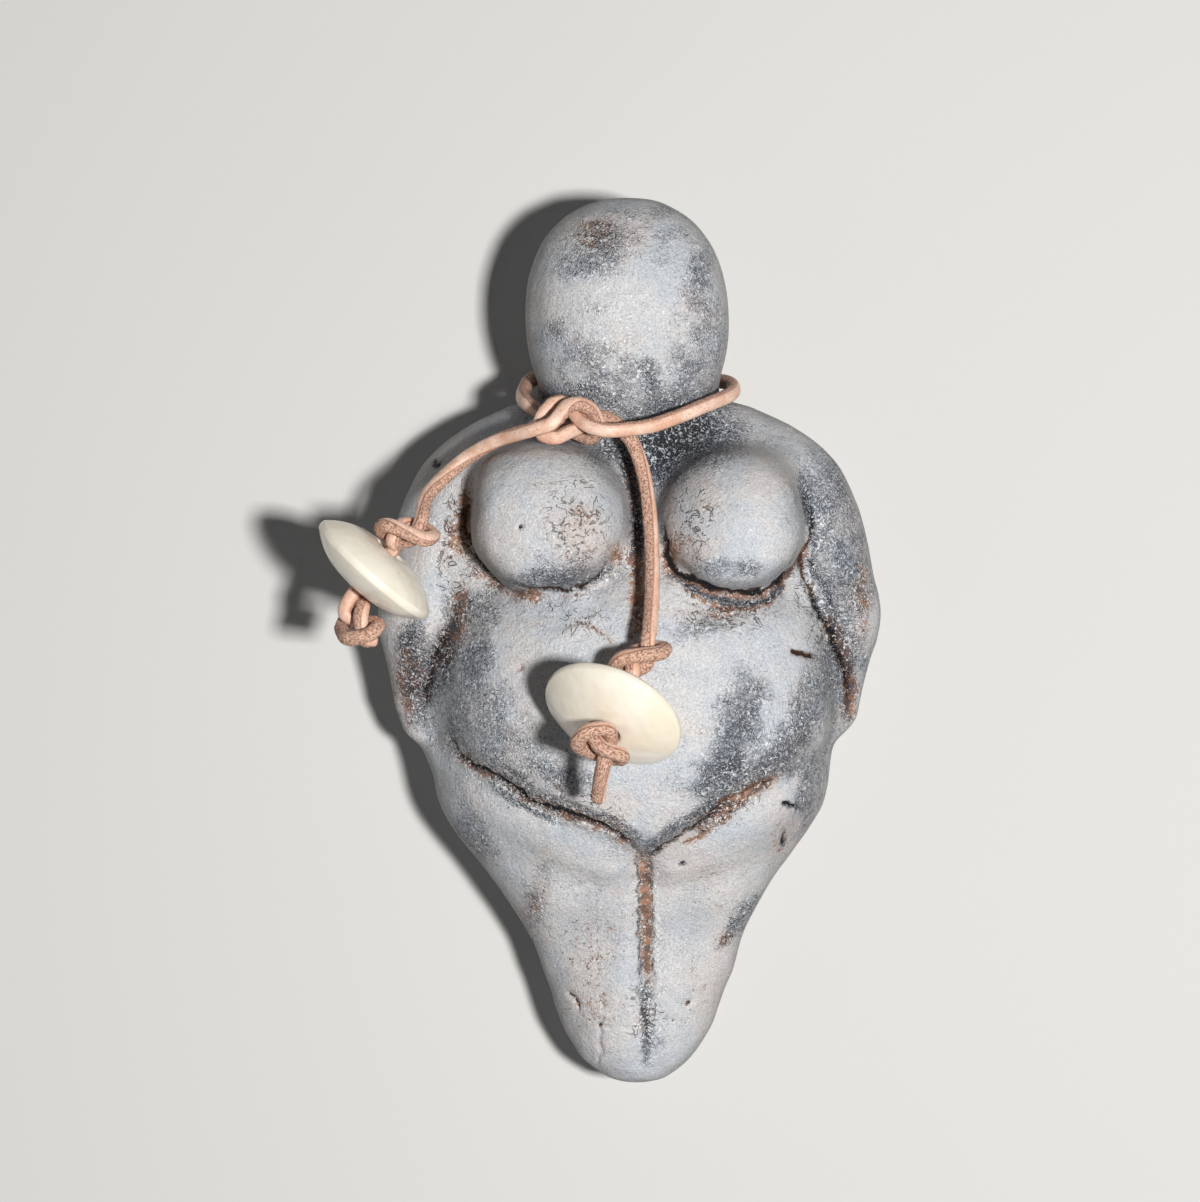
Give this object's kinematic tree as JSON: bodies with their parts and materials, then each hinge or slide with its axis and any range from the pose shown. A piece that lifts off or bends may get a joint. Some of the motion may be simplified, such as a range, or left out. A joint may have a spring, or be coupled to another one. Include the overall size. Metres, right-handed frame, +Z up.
{
  "type": "venus figurine",
  "caption": "Small cast figurine of a full-bodied woman with a blank egg-shaped head, lying on its back, with a knotted leather lace and lens-shaped beads.",
  "frame": {"origin": "middle of the figure's length and width, on the surface that it lies on", "axes": "+Z up from the surface, out of the figure's front; +Y along the figure to the crown of its head; +X to the right as its front is seen"},
  "size_m": [0.0554, 0.0888, 0.0381],
  "materials": {
    "cast": "matt pale blue-grey paint, with dark speckle and brown grime in the creases",
    "lace": "pinkish tan, smooth on the grain side and rough on the suede side",
    "bead": "polished ivory-coloured bead"
  },
  "bodies": {
    "root": {"figurine": "cast", "thong": "lace", "bead_left": "bead", "bead_right": "bead"}
  },
  "joints": []
}
